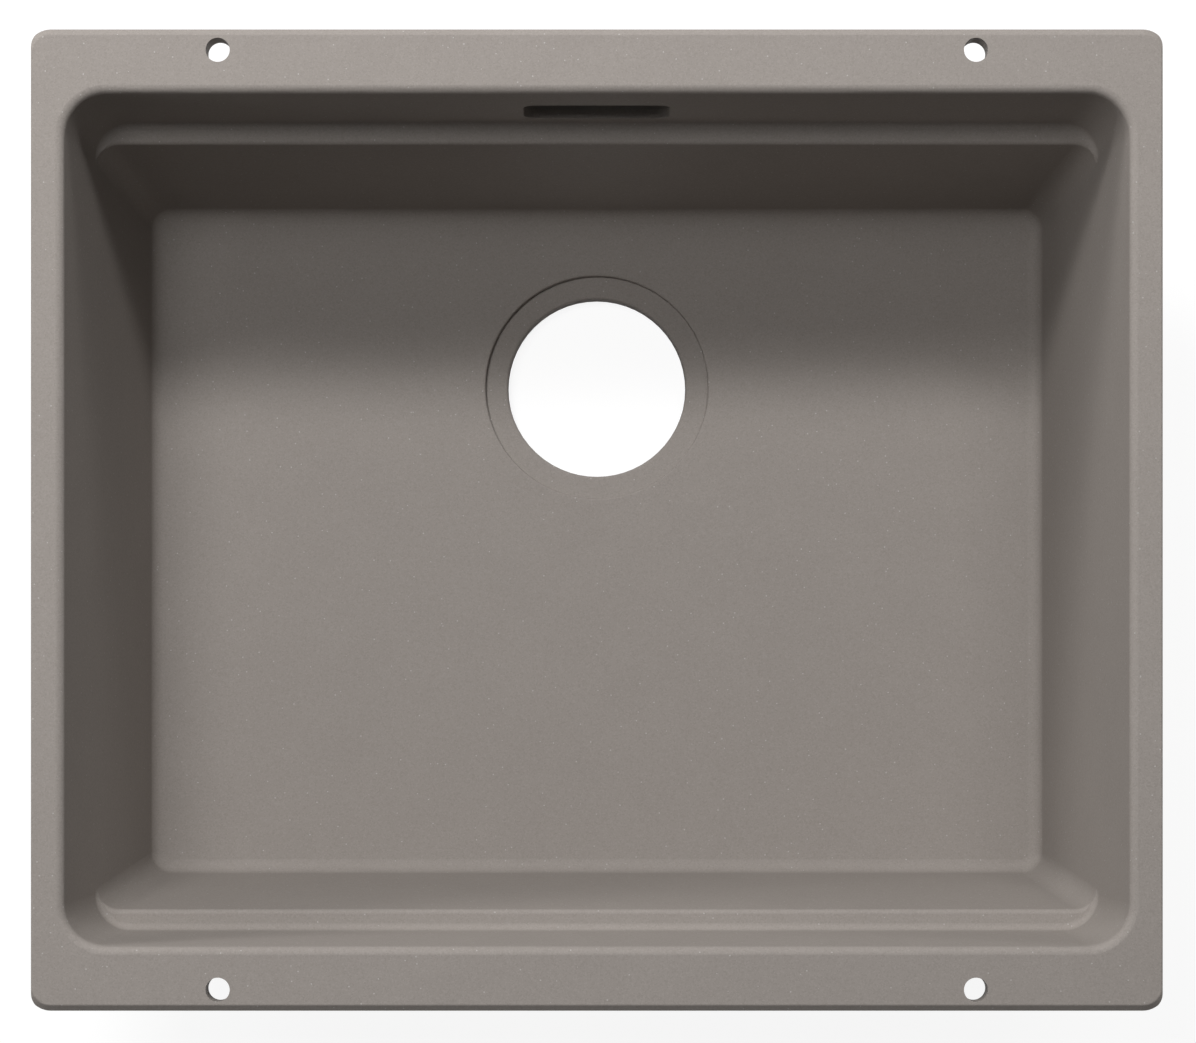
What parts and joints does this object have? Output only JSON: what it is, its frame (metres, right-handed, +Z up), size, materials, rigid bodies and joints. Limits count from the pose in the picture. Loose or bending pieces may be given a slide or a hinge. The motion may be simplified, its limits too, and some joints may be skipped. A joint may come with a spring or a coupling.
{
  "type": "undermount kitchen sink",
  "caption": "Undermount kitchen sink: one moulded stone-composite bowl with a drilled flange, ledges front and back, a round drain and a slot overflow with its collector.",
  "frame": {"origin": "centre of the flange's top face, which is also the centre of its four holes", "axes": "+Z up, +X along the sink's length, +Y to its back, where the drain and the overflow are"},
  "size_m": [0.53, 0.46, 0.206],
  "materials": {
    "stone_composite": "matte",
    "insert_brass": "satin",
    "gasket_rubber": "matte",
    "housing_plastic": "satin",
    "screw_steel": "satin",
    "ring_plastic": "satin",
    "nut_plastic": "satin"
  },
  "bodies": {
    "bowl_assembly": {"bowl": "stone_composite", "overflow_inserts": "insert_brass", "overflow_gasket": "gasket_rubber", "overflow_housing": "housing_plastic", "screw_washers": "screw_steel", "overflow_screws": "screw_steel"},
    "seal_stack": {"hose_cone_seal": "gasket_rubber", "hose_slip_ring": "ring_plastic"},
    "union_nut": {"hose_union_nut": "nut_plastic"}
  },
  "joints": [
    {"name": "nut_travel", "type": "slide", "parent": "bowl_assembly", "child": "seal_stack", "axis": [0, 0, -1], "range_m": [0, 0.00363]},
    {"name": "nut_turn", "type": "hinge", "parent": "seal_stack", "child": "union_nut", "pos_m": [0, 0.21213, -0.1145], "axis": [0, 0, -1], "range_deg": [0, 720]}
  ],
  "couplings": [
    {"joint": "nut_turn", "follows": "nut_travel", "rad_per_m": 3463.7}
  ]
}
